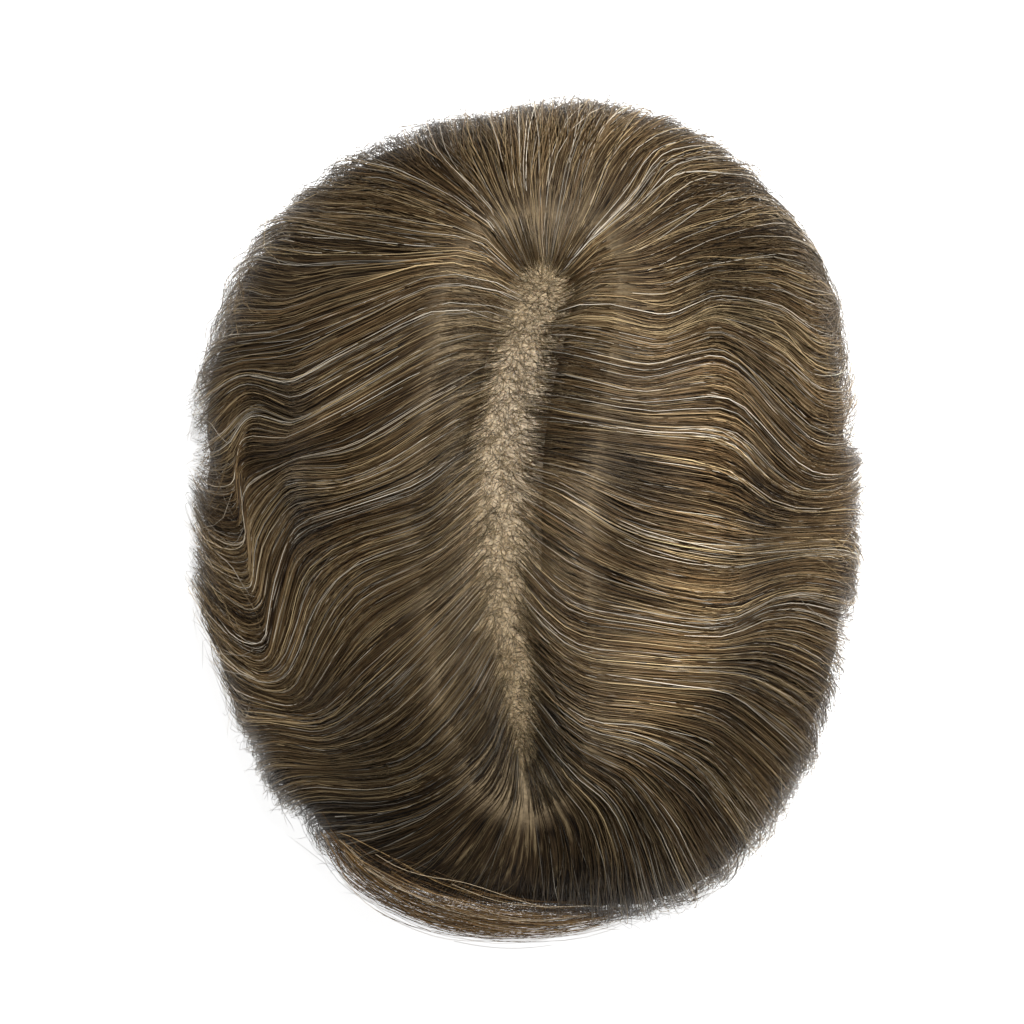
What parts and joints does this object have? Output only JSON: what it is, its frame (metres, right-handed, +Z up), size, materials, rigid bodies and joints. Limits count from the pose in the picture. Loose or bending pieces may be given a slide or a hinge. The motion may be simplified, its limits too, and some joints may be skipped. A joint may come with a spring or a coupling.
{
  "type": "toupee hairpiece",
  "caption": "Parted toupee hairpiece: a thin domed skin base that carries waved hair, swept from a long parting and a whorl to a level hem all round.",
  "frame": {"origin": "on the surface that the hairpiece stands on, under the middle of its outline", "axes": "+X to the wearer's left, +Y to the back of the hairpiece, +Z up"},
  "size_m": [0.203, 0.2526, 0.0804],
  "materials": {
    "skin_base": "thin translucent skin, satin",
    "hair": "fine waved hair, ash brown with some grey, soft sheen"
  },
  "bodies": {
    "root": {"skin_base": "skin_base", "hair_left_side": "hair", "hair_right_side": "hair", "hair_back": "hair"}
  },
  "joints": []
}
